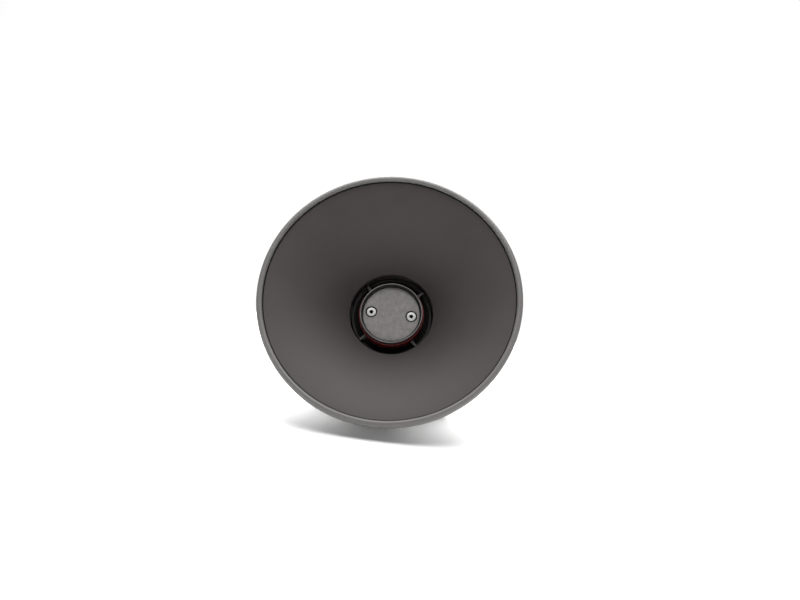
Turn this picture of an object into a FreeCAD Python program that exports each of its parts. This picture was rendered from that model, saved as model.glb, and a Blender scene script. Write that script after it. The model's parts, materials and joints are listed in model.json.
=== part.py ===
import FreeCAD, Part
import math
import os
import Sketcher

# Flared horn loudspeaker on a U-bracket, as a parametric assembly.
#
# The horn head is drawn in its own axes: +Z runs out of the mouth along the horn's axis, +Y is the head's top
# and the origin is on the tilt axis. Each piece of the head is then turned about X and lifted to the pivot,
# so that the bracket's foot stands on Z = 0 with its centre at the origin and the mouth faces -Y, tilted up.

V = FreeCAD.Vector

# alias, value in mm (degrees for angles), what it measures
DIMENSIONS = [
    ("tilt", 20, "rest angle of the horn's axis above level"),
    ("pivot_height", 71, "bracket foot to tilt axis"),
    ("pivot_to_mouth", 96, "tilt axis to mouth plane, along the horn"),
    ("mouth_radius", 100, "outside of the edge trim"),
    ("trim_inner", 95.4, "inner wall of the edge trim"),
    ("trim_step", 2, "bell edge behind the mouth plane"),
    ("trim_crown", 1.1, "trim crown in front of the mouth plane"),
    ("throat_radius", 34.8, "sharp throat edge of the bell"),
    ("throat_depth", 51.1, "mouth plane to throat edge"),
    ("flare_radius", 130, "arc of the flare in section"),
    ("bell_wall", 2.5, "bell wall thickness"),
    ("neck_bore", 36.6, "undercut behind the throat edge"),
    ("neck_wall", 2.9, "wall of the bell's neck"),
    ("flange_radius", 50, "bell flange and front of the housing"),
    ("flange_wall", 4, "bell flange thickness"),
    ("gasket_wall", 1.5, "neck gasket thickness"),
    ("bell_screw_circle", 44.5, "radius of the bell screw circle"),
    ("dish_depth", 60, "mouth plane to the front edge of the dish"),
    ("dish_floor_depth", 66.5, "mouth plane to the floor of the dish"),
    ("dish_floor", 3, "floor thickness of the dish"),
    ("dish_outer", 33.4, "outside of the dish wall"),
    ("dish_inner", 31.8, "front edge of the concave duct"),
    ("web_depth", 57, "mouth plane to the front edges of the webs"),
    ("web_wall", 1.8, "web thickness"),
    ("cup_radius", 25.9, "outside of the centre cup and its cap"),
    ("cup_ledge", 3.3, "wall of the centre cup behind the cap, which rests on it"),
    ("cup_rear_depth", 62, "mouth plane to the open end of the cup"),
    ("sleeve_radius", 27.2, "outside of the coloured sleeve"),
    ("sleeve_front_depth", 52.4, "mouth plane to the front of the sleeve"),
    ("sleeve_width", 8, "length of the sleeve"),
    ("cap_depth", 52.2, "mouth plane to the face of the cap"),
    ("cap_recess", 3.8, "rim of the cup in front of the cap's face"),
    ("cap_bore", 23.6, "bore of the cup round the cap"),
    ("cap_gap", 0.05, "clearance round the cap"),
    ("cap_boss_radius", 5.6, "bosses behind the cap that rest on the screw posts"),
    ("cap_wall", 2.5, "cap thickness"),
    ("face_screw_offset", 16.8, "face screws from the horn's axis"),
    ("face_head_radius", 3.8, "head of a face screw"),
    ("face_recess_radius", 4.9, "clearance recess round a face screw"),
    ("m5_clearance", 2.75, "clearance hole for an M5 screw"),
    ("m5_tapped", 2.56, "tapped hole for an M5 screw"),
    ("m3_clearance", 1.7, "clearance hole for an M3 screw"),
    ("throat_bore", 8, "driver exit"),
    ("tube_mouth_bore", 10.3, "front bore of the throat tube"),
    ("can_radius", 46, "outside of the driver housing"),
    ("can_bore", 41, "inside of the driver housing"),
    ("front_wall", 5, "front wall of the housing"),
    ("can_rear", 24, "tilt axis to the cover joint, towards the rear"),
    ("cover_radius", 52, "rear flange and rear cover"),
    ("cover_depth", 16, "rear cover, joint to back face"),
    ("cover_wall", 4, "back wall of the cover"),
    ("cover_screw_circle", 47.6, "radius of the cover screw circle"),
    ("boss_radius", 12, "pivot boss"),
    ("boss_face", 53, "horn's axis to the face of a pivot boss"),
    ("arm_gap", 1.5, "serrated disc between boss and arm"),
    ("arm_wall", 4, "bracket strip thickness"),
    ("arm_width", 34, "bracket strip width"),
    ("arm_bend", 10, "inside radius of the bracket's bends"),
    ("pivot_radius", 4, "pivot bolt shank"),
    ("running_gap", 0.08, "clearance of a turning fit, on the radius"),
    ("foot_bolt_offset", 35, "foot bolt holes from the centre"),
    ("foot_bolt_hole", 4.5, "radius of a foot bolt hole"),
    ("foot_centre_hole", 6.5, "radius of the foot's centre hole"),
    ("plate_radius", 36, "driver front plate and clamping ring"),
    ("magnet_radius", 30, "magnet and its plates"),
    ("pole_radius", 17.3, "centre pole"),
    ("coil_bore", 17.9, "inside of the voice coil"),
    ("coil_radius", 18.6, "outside of the voice coil"),
    ("clamp_circle", 33.5, "radius of the driver screw circle"),
    ("front_plate_wall", 4, "driver front plate"),
    ("ring_wall", 8.5, "clamping ring"),
    ("top_plate_wall", 5, "top plate of the magnet"),
    ("magnet_wall", 8, "ring magnet"),
    ("back_plate_wall", 5, "back plate of the magnet"),
    ("core_screw_offset", 15, "transformer screws from the horn's axis"),
    ("earth_offset", 36, "earth point below the horn's axis"),
    ("entry_offset_x", 20, "cable entries from the horn's axis, sideways"),
    ("entry_offset_y", 2, "cable entries below the horn's axis"),
    ("entry_radius", 10, "bore of a cable entry"),
    ("cable_radius", 4.5, "bore of the cable seal"),
    ("gland_flats", 24, "gland nut and body, across flats"),
    ("selector_offset", 20, "selector above the horn's axis"),
    ("selector_radius", 3, "selector shaft"),
    ("knob_radius", 9, "selector knob"),
]
VALUES = {alias: value for alias, value, remark in DIMENSIONS}


class Size:
    """A length known both as a number and as the spreadsheet expression that drives it."""

    def __init__(self, value, text):
        self.value = value
        self.text = text

    def __add__(self, other):
        other = as_size(other)
        return Size(self.value + other.value, f"({self.text} + {other.text})")

    def __sub__(self, other):
        other = as_size(other)
        return Size(self.value - other.value, f"({self.text} - {other.text})")

    def __mul__(self, factor):
        return Size(self.value * factor, f"({self.text} * {factor:.9f})")

    def __neg__(self):
        return Size(-self.value, f"(0 - {self.text})")


def as_size(length):
    return length if isinstance(length, Size) else Size(float(length), f"{float(length):.9f}")


def dim(alias):
    return Size(float(VALUES[alias]), "dims." + alias)


doc = FreeCAD.newDocument("horn_loudspeaker")
sheet = doc.addObject("Spreadsheet::Sheet", "dims")
for row, (alias, value, remark) in enumerate(DIMENSIONS, start=1):
    sheet.set(f"A{row}", alias)
    sheet.set(f"B{row}", str(value))
    sheet.set(f"C{row}", remark)
    sheet.setAlias(f"B{row}", alias)
doc.recompute()

# ---------------------------------------------------------------- levels along the horn's axis
mouth = dim("pivot_to_mouth")
bell_edge = mouth - dim("trim_step")
throat = mouth - dim("throat_depth")
dish_front = mouth - dim("dish_depth")
dish_floor = mouth - dim("dish_floor_depth")
housing_front = dish_floor - dim("dish_floor")
flange_back = housing_front + dim("gasket_wall")
flange_front = flange_back + dim("flange_wall")
web_front = mouth - dim("web_depth")
cup_rear = mouth - dim("cup_rear_depth")
cap_face = mouth - dim("cap_depth")
cap_back = cap_face - dim("cap_wall")
post_top = cap_back - 3
can_rear = -dim("can_rear")
cover_back = can_rear - dim("cover_depth")
cover_inside = cover_back + dim("cover_wall")
plate_front = housing_front - dim("front_wall")

parts = {}


# ---------------------------------------------------------------- drawing helpers
def new_body(label):
    body = doc.addObject("PartDesign::Body", label)
    body.Label = label
    body.AllowCompound = True
    parts[label] = body
    return body


def origin_feature(body, role):
    return [feature for feature in body.Origin.OriginFeatures if feature.Role == role][0]


def arc_edge(start, end, radius, side):
    """Arc from start to end whose centre is on the left (side 1) or right (side -1) of the way."""
    chord = end - start
    rise = math.sqrt(radius ** 2 - (chord.Length / 2) ** 2)
    left = V(-chord.y, chord.x, 0).normalize()
    centre = start + chord * 0.5 + left * (rise * side)
    first, last = (start, end) if side > 0 else (end, start)
    angles = [math.atan2(point.y - centre.y, point.x - centre.x) for point in (first, last)]
    return Part.ArcOfCircle(Part.Circle(centre, V(0, 0, 1), radius), angles[0], angles[1])


def new_sketch(body, name, role, level=0):
    sketch = body.newObject("Sketcher::SketchObject", name)
    sketch.AttachmentSupport = [(origin_feature(body, role), "")]
    sketch.MapMode = "FlatFace"
    sketch.AttachmentOffset = FreeCAD.Placement(V(0, 0, as_size(level).value), FreeCAD.Rotation())
    sketch.setExpression("AttachmentOffset.Base.z", as_size(level).text)
    return sketch


def bind(sketch, kind, position, size):
    """Drive one dimension of a sketch from the sheet."""
    number = sketch.addConstraint(Sketcher.Constraint(kind, *position, size.value))
    sketch.setExpression(f"Constraints[{number}]", size.text)


def draw_outline(sketch, outline):
    """Closed outline. A corner is (u, v), or (u, v, radius, side) where an arc leads to it."""
    corners = [(as_size(corner[0]), as_size(corner[1])) for corner in outline]
    points = [V(u.value, v.value, 0) for u, v in corners]
    ends = []
    for index, corner in enumerate(outline):
        start, end = points[index - 1], points[index]
        if len(corner) == 4:
            radius, side = as_size(corner[2]), corner[3]
            edge = sketch.addGeometry(arc_edge(start, end, radius.value, side))
            bind(sketch, "Radius", (edge,), radius)
            ends.append((edge, 1, 2) if side > 0 else (edge, 2, 1))
        else:
            edge = sketch.addGeometry(Part.LineSegment(start, end))
            ends.append((edge, 1, 2))
    for index, (edge, start_end, last_end) in enumerate(ends):
        following, following_start, unused = ends[(index + 1) % len(ends)]
        sketch.addConstraint(Sketcher.Constraint("Coincident", edge, last_end, following, following_start))
        bind(sketch, "DistanceX", (-1, 1, edge, last_end), corners[index][0])
        bind(sketch, "DistanceY", (-1, 1, edge, last_end), corners[index][1])


def draw_circles(sketch, circles):
    for u, v, radius in circles:
        u, v, radius = as_size(u), as_size(v), as_size(radius)
        edge = sketch.addGeometry(Part.Circle(V(u.value, v.value, 0), V(0, 0, 1), radius.value))
        bind(sketch, "Radius", (edge,), radius)
        bind(sketch, "DistanceX", (-1, 1, edge, 3), u)
        bind(sketch, "DistanceY", (-1, 1, edge, 3), v)


def hexagon(across_flats, u=0, v=0):
    size, u, v = as_size(across_flats), as_size(u), as_size(v)
    corner = size * (1 / math.sqrt(3))
    turns = [math.radians(60 * step) for step in range(6)]
    return [(u + corner * math.cos(turn), v + corner * math.sin(turn)) for turn in turns]


def rectangle(low_u, high_u, low_v, high_v):
    return [(low_u, low_v), (high_u, low_v), (high_u, high_v), (low_u, high_v)]


def turned(label, outline):
    """A body turned about its own Z axis from an outline of (radius, height)."""
    body = new_body(label)
    sketch = new_sketch(body, label + "_section", "XZ_Plane")
    draw_outline(sketch, outline)
    solid = body.newObject("PartDesign::Revolution", label + "_turned")
    solid.Profile = sketch
    solid.ReferenceAxis = (sketch, ["V_Axis"])
    solid.Angle = 360
    return body


def turned_off_centre(label, offset, outline):
    """As turned, about a line parallel to Z at X = offset, to be patterned round the body's axis."""
    body = new_body(label)
    sketch = new_sketch(body, label + "_section", "XZ_Plane")
    draw_outline(sketch, [(offset + corner[0], *corner[1:]) for corner in outline])
    low, high = V(offset.value, -1, 0), V(offset.value, 1, 0)
    line = sketch.addGeometry(Part.LineSegment(low, high), True)
    sketch.addConstraint(Sketcher.Constraint("Vertical", line))
    sketch.addConstraint(Sketcher.Constraint("DistanceY", -1, 1, line, 1, -1))
    sketch.addConstraint(Sketcher.Constraint("DistanceY", -1, 1, line, 2, 1))
    bind(sketch, "DistanceX", (-1, 1, line, 1), offset)
    solid = body.newObject("PartDesign::Revolution", label + "_turned")
    solid.Profile = sketch
    solid.ReferenceAxis = (sketch, ["Axis0"])
    solid.Angle = 360
    return body


def groove(body, name, outline):
    sketch = new_sketch(body, name + "_section", "XZ_Plane")
    draw_outline(sketch, outline)
    cut = body.newObject("PartDesign::Groove", name)
    cut.Profile = sketch
    cut.ReferenceAxis = (sketch, ["V_Axis"])
    cut.Angle = 360
    return cut


def prism(body, name, role, low, high, outline=None, circles=None, cut=False):
    """Pad or pocket between two levels along the normal of an origin plane."""
    low, high = as_size(low), as_size(high)
    doc.recompute()
    before = body.Shape.Volume if body.Tip else 0
    sketch = new_sketch(body, name + "_outline", role, low)
    if outline:
        draw_outline(sketch, outline)
    if circles:
        draw_circles(sketch, circles)
    feature = body.newObject("PartDesign::Pocket" if cut else "PartDesign::Pad", name)
    feature.Profile = sketch
    feature.Reversed = cut
    feature.setExpression("Length", (high - low).text)
    doc.recompute()
    change = body.Shape.Volume - before
    if (change >= 0) if cut else (change <= 0):
        raise RuntimeError(f"{name} changes nothing")
    return feature


def polar(body, features, count):
    pattern = body.newObject("PartDesign::PolarPattern", body.Label + "_" + features[-1].Name + "_round")
    pattern.Originals = features
    pattern.Axis = (origin_feature(body, "Z_Axis"), [""])
    pattern.Angle = 360
    pattern.Occurrences = count
    body.Tip = pattern
    return pattern


def box(label, low, high):
    """Part::Box between two corners given as Sizes or numbers."""
    low, high = [as_size(v) for v in low], [as_size(v) for v in high]
    solid = doc.addObject("Part::Box", label)
    for side, start, end in zip(("Length", "Width", "Height"), low, high):
        solid.setExpression(side, (end - start).text)
    for axis, start in zip("xyz", low):
        solid.setExpression("Placement.Base." + axis, start.text)
    return solid


def cut_box(label, base, tools):
    """Part::Cut of a box by several others."""
    tool = tools[0]
    if len(tools) > 1:
        tool = doc.addObject("Part::MultiFuse", label + "_holes")
        tool.Shapes = tools
    solid = doc.addObject("Part::Cut", label)
    solid.Label = label
    solid.Base = base
    solid.Tool = tool
    parts[label] = solid
    return solid


def cylinder(label, centre, radius, low, high):
    radius, low, high = as_size(radius), as_size(low), as_size(high)
    solid = doc.addObject("Part::Cylinder", label)
    solid.setExpression("Radius", radius.text)
    solid.setExpression("Height", (high - low).text)
    for axis, start in zip("xyz", (*centre, low)):
        solid.setExpression("Placement.Base." + axis, as_size(start).text)
    return solid


def place_in_head(piece, x=0, y=0):
    """Put a piece drawn in the head's axes, or about a line parallel to them at (x, y), on the bracket."""
    x, y = as_size(x), as_size(y)
    piece.Placement = FreeCAD.Placement(V(0, 0, 0), FreeCAD.Rotation(V(1, 0, 0), 70))
    piece.setExpression("Placement.Base.x", x.text)
    piece.setExpression("Placement.Base.y", f"{y.text} * sin(dims.tilt)")
    piece.setExpression("Placement.Base.z", f"dims.pivot_height + {y.text} * cos(dims.tilt)")
    piece.setExpression("Placement.Rotation.Angle", "90 - dims.tilt")


# ---------------------------------------------------------------- the bell and its edge trim
def horn_bell():
    neck = dim("neck_bore") + dim("neck_wall")
    edge = dim("mouth_radius") - 1.6
    edge_back = bell_edge - dim("bell_wall")
    body = turned("horn_bell", [
        (dim("neck_bore"), throat - 1.7),
        (dim("throat_radius"), throat),
        (dim("trim_inner"), bell_edge, dim("flare_radius"), -1),
        (edge, bell_edge),
        (edge, edge_back),
        (dim("trim_inner") + 0.5, edge_back),
        (neck, throat + 2.4, dim("flare_radius") - dim("bell_wall"), 1),
        (neck, flange_front),
        (dim("flange_radius"), flange_front),
        (dim("flange_radius"), flange_back),
        (dim("neck_bore"), flange_back),
    ])
    hole = prism(body, "bell_screw_hole", "XY_Plane", flange_back - 1, flange_front + 1,
                 circles=[(dim("bell_screw_circle"), 0, dim("m5_clearance"))], cut=True)
    polar(body, [hole], 4)


def rim_trim():
    slot_wall = dim("mouth_radius") - 1.4
    edge_back = bell_edge - dim("bell_wall")
    crown = mouth + dim("trim_crown")
    turned("rim_trim", [
        (dim("trim_inner"), bell_edge),
        (slot_wall, bell_edge),
        (slot_wall, edge_back),
        (dim("trim_inner") + 0.9, edge_back),
        (dim("trim_inner") + 1.7, edge_back - 2.2),
        (dim("mouth_radius") - 1.4, edge_back - 2.2),
        (dim("mouth_radius"), edge_back - 0.8, 1.4, 1),
        (dim("mouth_radius"), crown - 2.8),
        (dim("trim_inner") + 1.8, crown, 2.8, 1),
        (dim("trim_inner"), crown - 1.8, 1.8, 1),
    ])


# ---------------------------------------------------------------- the folded throat behind the bell
def throat_spider():
    """Dished duct floor with two screw posts and the four webs that carry the centre cup."""
    hub_bore = 11.7
    hub_top = dish_floor + 3.5
    body = turned("throat_spider", [
        (hub_bore, housing_front),
        (dim("neck_bore") - 0.2, housing_front),
        (dim("neck_bore") - 0.2, dish_floor + 0.5),
        (dim("dish_outer"), dish_floor + 0.5),
        (dim("dish_outer"), dish_front),
        (dim("dish_inner"), dish_front),
        (22, dish_floor, 10, -1),
        (14.2, dish_floor),
        (13.4, hub_top),
        (hub_bore, hub_top),
    ])
    prism(body, "screw_posts", "XY_Plane", dish_floor - 1, post_top,
          circles=[(dim("face_screw_offset") * side, 0, 4.2) for side in (-1, 1)])
    prism(body, "screw_post_holes", "XY_Plane", dish_floor + 0.7, post_top + 1,
          circles=[(dim("face_screw_offset") * side, 0, 2.06) for side in (-1, 1)], cut=True)
    quarter = math.sqrt(0.5)
    half = dim("web_wall") * 0.5

    def web(name, near, far, top):
        corners = [(near, -half), (far, -half), (far, half), (near, half)]
        turned_corners = [((along - across) * quarter, (along + across) * quarter) for along, across in corners]
        return prism(body, name, "XY_Plane", dish_floor - 1, top, outline=turned_corners)

    foot = web("web_foot", as_size(21.5), dim("dish_outer") - 1, cup_rear)
    guide = web("web_guide", dim("sleeve_radius") + 0.3, dim("dish_outer"), web_front)
    polar(body, [foot, guide], 4)


def throat_tube():
    """Central tube from the driver into the cup, held by its flange."""
    back = plate_front
    turned("throat_tube", [
        (dim("throat_bore"), back),
        (11, back),
        (11, housing_front - 3),
        (16, housing_front - 3),
        (16, housing_front),
        (11.5, housing_front),
        (11.5, dish_front + 0.5),
        (dim("tube_mouth_bore"), dish_front + 0.5),
    ])


def centre_cup():
    """Open cup with a thin front rim and a ledge that the cap rests on."""
    rim = cap_face + dim("cap_recess")
    ledge = dim("cup_radius") - dim("cup_ledge")
    turned("centre_cup", [
        (ledge, cup_rear),
        (dim("cup_radius") - 0.5, cup_rear),
        (dim("cup_radius"), cup_rear + 0.5),
        (dim("cup_radius"), rim - 0.4),
        (dim("cup_radius") - 0.4, rim),
        (dim("cup_radius") - 0.9, rim),
        (dim("cap_bore"), cap_face),
        (dim("cap_bore"), cap_back),
        (ledge, cap_back),
    ])


def cup_sleeve():
    front = mouth - dim("sleeve_front_depth")
    back = front - dim("sleeve_width")
    turned("cup_sleeve", [
        (dim("cup_radius") + 0.2, back),
        (dim("sleeve_radius") - 0.3, back),
        (dim("sleeve_radius"), back + 0.3),
        (dim("sleeve_radius"), front - 0.5),
        (dim("sleeve_radius") - 0.5, front),
        (dim("cup_radius") + 0.2, front),
    ])


def face_cap():
    """Cast disc that closes the cup, with two screw recesses and a boss behind each."""
    radius = dim("cap_bore") - dim("cap_gap")
    body = turned("face_cap", [
        (0, cap_back),
        (radius, cap_back),
        (radius, cap_face),
        (0, cap_face),
    ])
    for side, name in ((-1, "left"), (1, "right")):
        x = dim("face_screw_offset") * side
        prism(body, f"{name}_boss", "XY_Plane", post_top, cap_back + 0.5,
              circles=[(x, 0, dim("cap_boss_radius"))])
        prism(body, f"{name}_recess", "XY_Plane", cap_back - 0.1, cap_face + 1,
              circles=[(x, 0, dim("face_recess_radius"))], cut=True)
        prism(body, f"{name}_hole", "XY_Plane", post_top - 1, cap_back + 1, circles=[(x, 0, 2.3)], cut=True)


def socket_screws(label, offset, seat, head_radius, head_height, shank_radius, shank_length, socket, count,
                  forward=True):
    """Screws with a hexagon socket on a circle round the horn's axis; the head is towards +Z if forward."""
    seat, way = as_size(seat), (1 if forward else -1)
    top = seat + head_height * way
    edge = min(0.5, head_height * 0.25)
    outline = [
        (0, seat - shank_length * way),
        (shank_radius, seat - shank_length * way),
        (shank_radius, seat),
        (head_radius, seat),
        (head_radius, top - edge * way),
        (as_size(head_radius) - edge, top),
        (0, top),
    ]
    body = turned_off_centre(label, dim(offset), outline)
    shafts = body.Tip
    depth = head_height * 0.7
    low, high = (top - depth, top + 1) if forward else (top - 1, top + depth)
    hole = prism(body, label + "_socket", "XY_Plane", low, high, outline=hexagon(socket, dim(offset)), cut=True)
    polar(body, [shafts, hole], count)


# ---------------------------------------------------------------- the driver housing
def neck_gasket():
    body = turned("neck_gasket", [
        (dim("neck_bore") + 0.4, housing_front),
        (dim("flange_radius") - 0.4, housing_front),
        (dim("flange_radius") - 0.4, flange_back),
        (dim("neck_bore") + 0.4, flange_back),
    ])
    hole = prism(body, "gasket_hole", "XY_Plane", housing_front - 1, flange_back + 1,
                 circles=[(dim("bell_screw_circle"), 0, dim("m5_clearance"))], cut=True)
    polar(body, [hole], 4)


def driver_housing():
    """Cast can with two flanges, stiffening ribs and a pivot boss on each side."""
    flange = housing_front - 6.5
    body = turned("driver_housing", [
        (0, can_rear),
        (dim("cover_radius"), can_rear),
        (dim("cover_radius"), can_rear + 8),
        (dim("can_radius"), can_rear + 10),
        (dim("can_radius"), flange - 1.5),
        (dim("flange_radius"), flange),
        (dim("flange_radius"), housing_front),
        (0, housing_front),
    ])
    rib = prism(body, "rib", "XY_Plane", can_rear + 4, flange + 2,
                outline=rectangle(-1.5, 1.5, dim("can_bore") + 2, dim("flange_radius") - 1))
    polar(body, [rib], 12)
    prism(body, "pivot_bosses", "YZ_Plane", -dim("boss_face"), dim("boss_face"),
          circles=[(0, 0, dim("boss_radius"))])
    groove(body, "cavity", [
        (0, can_rear - 1),
        (dim("can_bore"), can_rear - 1),
        (dim("can_bore"), plate_front),
        (11.2, plate_front),
        (11.2, housing_front - 3),
        (16.2, housing_front - 3),
        (16.2, housing_front + 1),
        (0, housing_front + 1),
    ])
    prism(body, "left_pivot_hole", "YZ_Plane", -dim("boss_face") - 1, -dim("boss_face") + 8,
          circles=[(0, 0, dim("pivot_radius") + 0.06)], cut=True)
    prism(body, "right_pivot_hole", "YZ_Plane", dim("boss_face") - 8, dim("boss_face") + 1,
          circles=[(0, 0, dim("pivot_radius") + 0.06)], cut=True)
    bell_hole = prism(body, "bell_screw_tap", "XY_Plane", housing_front - 6, housing_front + 1,
                      circles=[(dim("bell_screw_circle"), 0, dim("m5_tapped"))], cut=True)
    polar(body, [bell_hole], 4)
    cover_hole = prism(body, "cover_screw_tap", "XY_Plane", can_rear - 1, can_rear + 7,
                       circles=[(dim("cover_screw_circle"), 0, dim("m5_tapped"))], cut=True)
    polar(body, [cover_hole], 6)
    driver_hole = prism(body, "driver_screw_tap", "XY_Plane", plate_front - 1, plate_front + 3.5,
                        circles=[(dim("clamp_circle"), 0, 1.56)], cut=True)
    polar(body, [driver_hole], 4)


def rear_cover():
    """Cover with a seal groove, two cable entries, a selector bore and an earthing boss."""
    entries = [(dim("entry_offset_x") * side, -dim("entry_offset_y")) for side in (-1, 1)]
    selector = (0, dim("selector_offset"))
    body = turned("rear_cover", [
        (0, cover_back),
        (dim("cover_radius") - 4, cover_back),
        (dim("cover_radius"), cover_back + 6),
        (dim("cover_radius"), can_rear),
        (dim("can_bore") + 3, can_rear),
        (dim("can_bore") + 3, can_rear - 2),
        (dim("can_bore") + 0.8, can_rear - 2),
        (dim("can_bore") + 0.8, can_rear),
        (dim("can_bore") - 0.5, can_rear),
        (dim("can_bore") - 0.5, cover_inside + 3.5),
        (dim("can_bore") - 4, cover_inside),
        (0, cover_inside),
    ])
    prism(body, "entry_bosses", "XY_Plane", cover_back + 1, cover_inside + 4,
          circles=[(x, y, dim("entry_radius") + 3.5) for x, y in entries])
    prism(body, "earth_boss", "XY_Plane", cover_back - 2, cover_back + 1, circles=[(0, -dim("earth_offset"), 6)])
    seat = prism(body, "screw_seat", "XY_Plane", cover_back - 1, cover_back + 7,
                 circles=[(dim("cover_screw_circle"), 0, 4.7)], cut=True)
    hole = prism(body, "screw_hole", "XY_Plane", cover_back - 1, can_rear + 1,
                 circles=[(dim("cover_screw_circle"), 0, dim("m5_clearance"))], cut=True)
    polar(body, [seat, hole], 6)
    prism(body, "entries", "XY_Plane", cover_back - 3, cover_inside + 5,
          circles=[(x, y, dim("entry_radius")) for x, y in entries], cut=True)
    prism(body, "selector_hole", "XY_Plane", cover_back - 3, cover_inside + 1,
          circles=[(*selector, dim("selector_radius") + dim("running_gap"))], cut=True)
    prism(body, "seal_recess", "XY_Plane", cover_back - 1, cover_back + 1.6,
          circles=[(*selector, 5)], cut=True)
    prism(body, "earth_hole", "XY_Plane", cover_back - 3, cover_back + 2.6,
          circles=[(0, -dim("earth_offset"), dim("m5_tapped"))], cut=True)


def cover_seal():
    turned("cover_seal", [
        (dim("can_bore") + 0.9, can_rear - 1.9),
        (dim("can_bore") + 2.9, can_rear - 1.9),
        (dim("can_bore") + 2.9, can_rear),
        (dim("can_bore") + 0.9, can_rear),
    ])


# ---------------------------------------------------------------- the compression driver
def driver_parts():
    plate_back = plate_front - dim("front_plate_wall")
    ring_back = plate_back - dim("ring_wall")
    top_back = ring_back - dim("top_plate_wall")
    magnet_back = top_back - dim("magnet_wall")
    back_back = magnet_back - dim("back_plate_wall")
    body = turned("driver_front_plate", [
        (dim("throat_bore"), plate_front),
        (dim("plate_radius"), plate_front),
        (dim("plate_radius"), plate_back),
        (20.3, plate_back),
        (20.3, plate_back + 1.9),
        (dim("throat_bore"), plate_back + 1.9),
    ])
    hole = prism(body, "plate_hole", "XY_Plane", plate_back - 1, plate_front + 1,
                 circles=[(dim("clamp_circle"), 0, dim("m3_clearance"))], cut=True)
    polar(body, [hole], 4)
    body = turned("phase_plug", [
        (0, plate_back + 0.1),
        (20.1, plate_back + 0.1),
        (20.1, plate_back + 1.9),
        (3.6, plate_back + 1.9),
        (0, plate_front + 4),
    ])
    hole = prism(body, "phase_hole", "XY_Plane", plate_back - 1, plate_front, circles=[(5.8, 0, 1.5)], cut=True)
    polar(body, [hole], 8)
    body = turned("clamping_ring", [
        (22.2, plate_back),
        (dim("plate_radius"), plate_back),
        (dim("plate_radius"), ring_back),
        (22.2, ring_back),
    ])
    hole = prism(body, "ring_hole", "XY_Plane", ring_back - 1, plate_back + 1,
                 circles=[(dim("clamp_circle"), 0, dim("m3_clearance"))], cut=True)
    polar(body, [hole], 4)
    body = turned_off_centre("driver_screws", dim("clamp_circle"), [
        (0, ring_back - 2.4),
        (2.7, ring_back - 2.4),
        (2.9, ring_back),
        (1.5, ring_back),
        (1.5, plate_front + 3),
        (0, plate_front + 3),
    ])
    turned_feature = body.Tip
    slot = prism(body, "driver_screw_slot", "XY_Plane", ring_back - 3, ring_back - 1.4,
                 outline=rectangle(30, 37, -0.4, 0.4), cut=True)
    polar(body, [turned_feature, slot], 4)
    rim = plate_back - 4.7
    turned("diaphragm", [
        (0, plate_back - 1.9),
        (7, plate_back - 1.9),
        (dim("coil_bore") - 0.3, rim),
        (21.5, rim),
        (21.5, rim + 0.6),
        (dim("coil_bore") - 0.2, rim + 0.6),
        (7, plate_back - 1.2),
        (0, plate_back - 1.2),
    ])
    turned("voice_coil", [
        (dim("coil_bore"), top_back + 0.6),
        (dim("coil_radius"), top_back + 0.6),
        (dim("coil_radius"), rim),
        (dim("coil_bore"), rim),
    ])
    turned("top_plate", [
        (dim("coil_radius") + 0.6, top_back),
        (dim("magnet_radius"), top_back),
        (dim("magnet_radius"), ring_back),
        (dim("coil_radius") + 0.6, ring_back),
    ])
    turned("ring_magnet", [
        (dim("coil_radius") + 2, magnet_back),
        (dim("magnet_radius"), magnet_back),
        (dim("magnet_radius"), top_back),
        (dim("coil_radius") + 2, top_back),
    ])
    body = turned("back_plate", [
        (3, back_back),
        (dim("magnet_radius"), back_back),
        (dim("magnet_radius"), magnet_back),
        (dim("pole_radius"), magnet_back),
        (dim("pole_radius"), ring_back),
        (3, ring_back),
    ])
    prism(body, "core_screw_taps", "XY_Plane", back_back - 1, back_back + 3,
          circles=[(dim("core_screw_offset") * side, 0, 1.86) for side in (-1, 1)], cut=True)
    return back_back


def line_transformer(back_back):
    """Laminated core with two windows, its winding, and the two screws that hold it off the magnet."""
    front, back = back_back - 4, back_back - 17
    windows = [box(f"core_window_{name}", (low, -9, back - 1), (low + 6, 9, front + 1))
               for name, low in (("left", -12), ("right", 6))]
    holes = [cylinder(f"core_hole_{name}", (dim("core_screw_offset") * side, 0), 1.9, back - 1, front + 1)
             for name, side in (("left", -1), ("right", 1))]
    block = box("core_block", (-18, -15, back), (18, 15, front))
    cut_box("transformer_core", block, windows + holes)
    coil = box("winding_block", (-11.6, -8.6, back - 3.4), (11.6, 8.6, front + 3.6))
    limb = box("winding_bore", (-6.2, -10, back - 0.2), (6.2, 10, front + 0.2))
    cut_box("transformer_winding", coil, [limb])
    screws = doc.addObject("Part::MultiFuse", "core_screws")
    screws.Label = "core_screws"
    screws.Shapes = [solid for side, name in ((-1, "left"), (1, "right")) for solid in (
        cylinder(f"core_screw_{name}", (dim("core_screw_offset") * side, 0), 1.8, back - 1, back_back + 2.8),
        cylinder(f"core_screw_{name}_head", (dim("core_screw_offset") * side, 0), 2.8, back - 2, back),
    )]
    parts["core_screws"] = screws


def terminals():
    """Three-way terminal block on the floor of the cover, with its clamping screws."""
    top = cover_inside + 10
    block = box("terminal_body", (-14, -34, cover_inside), (14, -24, top))
    places = [(-9 + 9 * step, -29) for step in range(3)]
    wells = [cylinder(f"terminal_well_{step}", place, 2.6, top - 3, top + 1)
             for step, place in enumerate(places, start=1)]
    cut_box("terminal_block", block, wells)
    heads = doc.addObject("Part::MultiFuse", "terminal_screws")
    heads.Label = "terminal_screws"
    heads.Shapes = [cylinder(f"terminal_screw_{step}", place, 2.4, top - 3, top - 0.6)
                    for step, place in enumerate(places, start=1)]
    parts["terminal_screws"] = heads


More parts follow.
